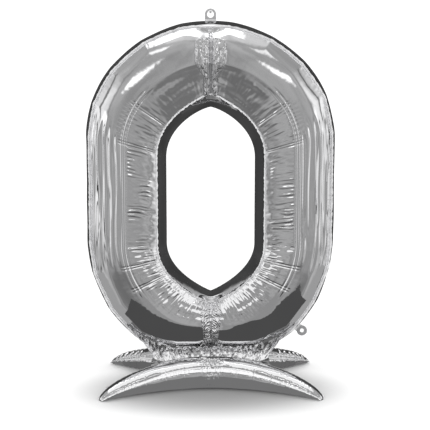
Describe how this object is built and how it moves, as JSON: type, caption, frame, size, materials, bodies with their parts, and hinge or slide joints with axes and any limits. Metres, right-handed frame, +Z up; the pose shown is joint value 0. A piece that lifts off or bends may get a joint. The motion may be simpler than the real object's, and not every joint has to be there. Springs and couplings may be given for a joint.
{
  "type": "foil number balloon",
  "caption": "silver foil balloon in the shape of the number zero, standing on its own inflated crescent feet, with a hanging tab",
  "frame": {"origin": "on the floor under the middle of the number, at the bottom centre of the bounding box", "axes": "+Z up, the number's front faces -Y, +X to the right as the number is read"},
  "size_m": [0.848, 0.4688, 1.285],
  "materials": {
    "foil": "mirror-bright vacuum-metallised film, taut and wrinkled towards its seams",
    "seam": "heat-sealed rim of the same film, puckered",
    "gathered_foil": "gathered and crumpled metallised film",
    "tab_film": "dull silver film tab",
    "valve_film": "thin clear polyethylene film"
  },
  "bodies": {
    "base": {"front_foot_top": "foil", "front_foot_bottom": "foil", "front_foot_outer_seam": "seam", "front_foot_inner_seam": "seam", "front_foot_valve_inner_film": "valve_film", "front_foot_valve_outer_film": "valve_film", "rear_foot_top": "foil", "rear_foot_bottom": "foil", "rear_foot_outer_seam": "seam", "rear_foot_inner_seam": "seam", "rear_foot_valve_inner_film": "valve_film", "rear_foot_valve_outer_film": "valve_film", "front_skirt": "gathered_foil", "rear_skirt": "gathered_foil", "centre_web": "gathered_foil"},
    "number": {"front_panel": "foil", "back_panel": "foil", "rim_strip": "foil", "hole_strip": "foil", "front_rim_seam": "seam", "back_rim_seam": "seam", "front_hole_seam": "seam", "back_hole_seam": "seam", "front_top_dart": "seam", "front_bottom_dart": "seam", "back_top_dart": "seam", "back_bottom_dart": "seam", "hang_tab_root": "tab_film", "side_tab_root": "tab_film", "number_valve_inner_film": "valve_film", "number_valve_outer_film": "valve_film"},
    "hang_tab": {"hang_tab": "tab_film"},
    "hang_tab_tongue": {"hang_tab_tongue": "tab_film"},
    "side_tab": {"side_tab": "tab_film"},
    "number_valve_tail": {"number_valve_tail": "tab_film"},
    "front_foot_tail": {"front_foot_tail": "tab_film"},
    "rear_foot_tail": {"rear_foot_tail": "tab_film"}
  },
  "joints": [
    {"name": "nod", "type": "hinge", "parent": "base", "child": "number", "pos_m": [0, 0, 0.118], "axis": [1, 0, 0], "range_deg": [-4, 4], "stiffness_Nm_per_rad": 4},
    {"name": "hang_tab_flap", "type": "hinge", "parent": "number", "child": "hang_tab", "pos_m": [0, 0, 1.247], "axis": [1, 0, 0], "range_deg": [-80, 80], "stiffness_Nm_per_rad": 0.0006},
    {"name": "tongue_flap", "type": "hinge", "parent": "hang_tab", "child": "hang_tab_tongue", "pos_m": [0, 0, 1.2781], "axis": [1, 0, 0], "range_deg": [-88, 88], "stiffness_Nm_per_rad": 0.00005},
    {"name": "side_tab_flap", "type": "hinge", "parent": "number", "child": "side_tab", "pos_m": [0.30671, 0, 0.19057], "axis": [0.672, 0, 0.7406], "range_deg": [-80, 80], "stiffness_Nm_per_rad": 0.0006},
    {"name": "number_tail_flap", "type": "hinge", "parent": "number", "child": "number_valve_tail", "pos_m": [-0.38942, 0.06257, 0.36801], "axis": [-0.2593, -0.0034, 0.9658], "range_deg": [-45, 45], "stiffness_Nm_per_rad": 0.0006},
    {"name": "front_tail_flap", "type": "hinge", "parent": "base", "child": "front_foot_tail", "pos_m": [-0.33393, -0.15486, 0.02934], "axis": [0.8296, 0.5249, 0.1902], "range_deg": [-25, 45], "stiffness_Nm_per_rad": 0.0006},
    {"name": "rear_tail_flap", "type": "hinge", "parent": "base", "child": "rear_foot_tail", "pos_m": [-0.16444, 0.16067, 0.06418], "axis": [0.9149, -0.3946, 0.085], "range_deg": [-40, 50], "stiffness_Nm_per_rad": 0.0006}
  ]
}
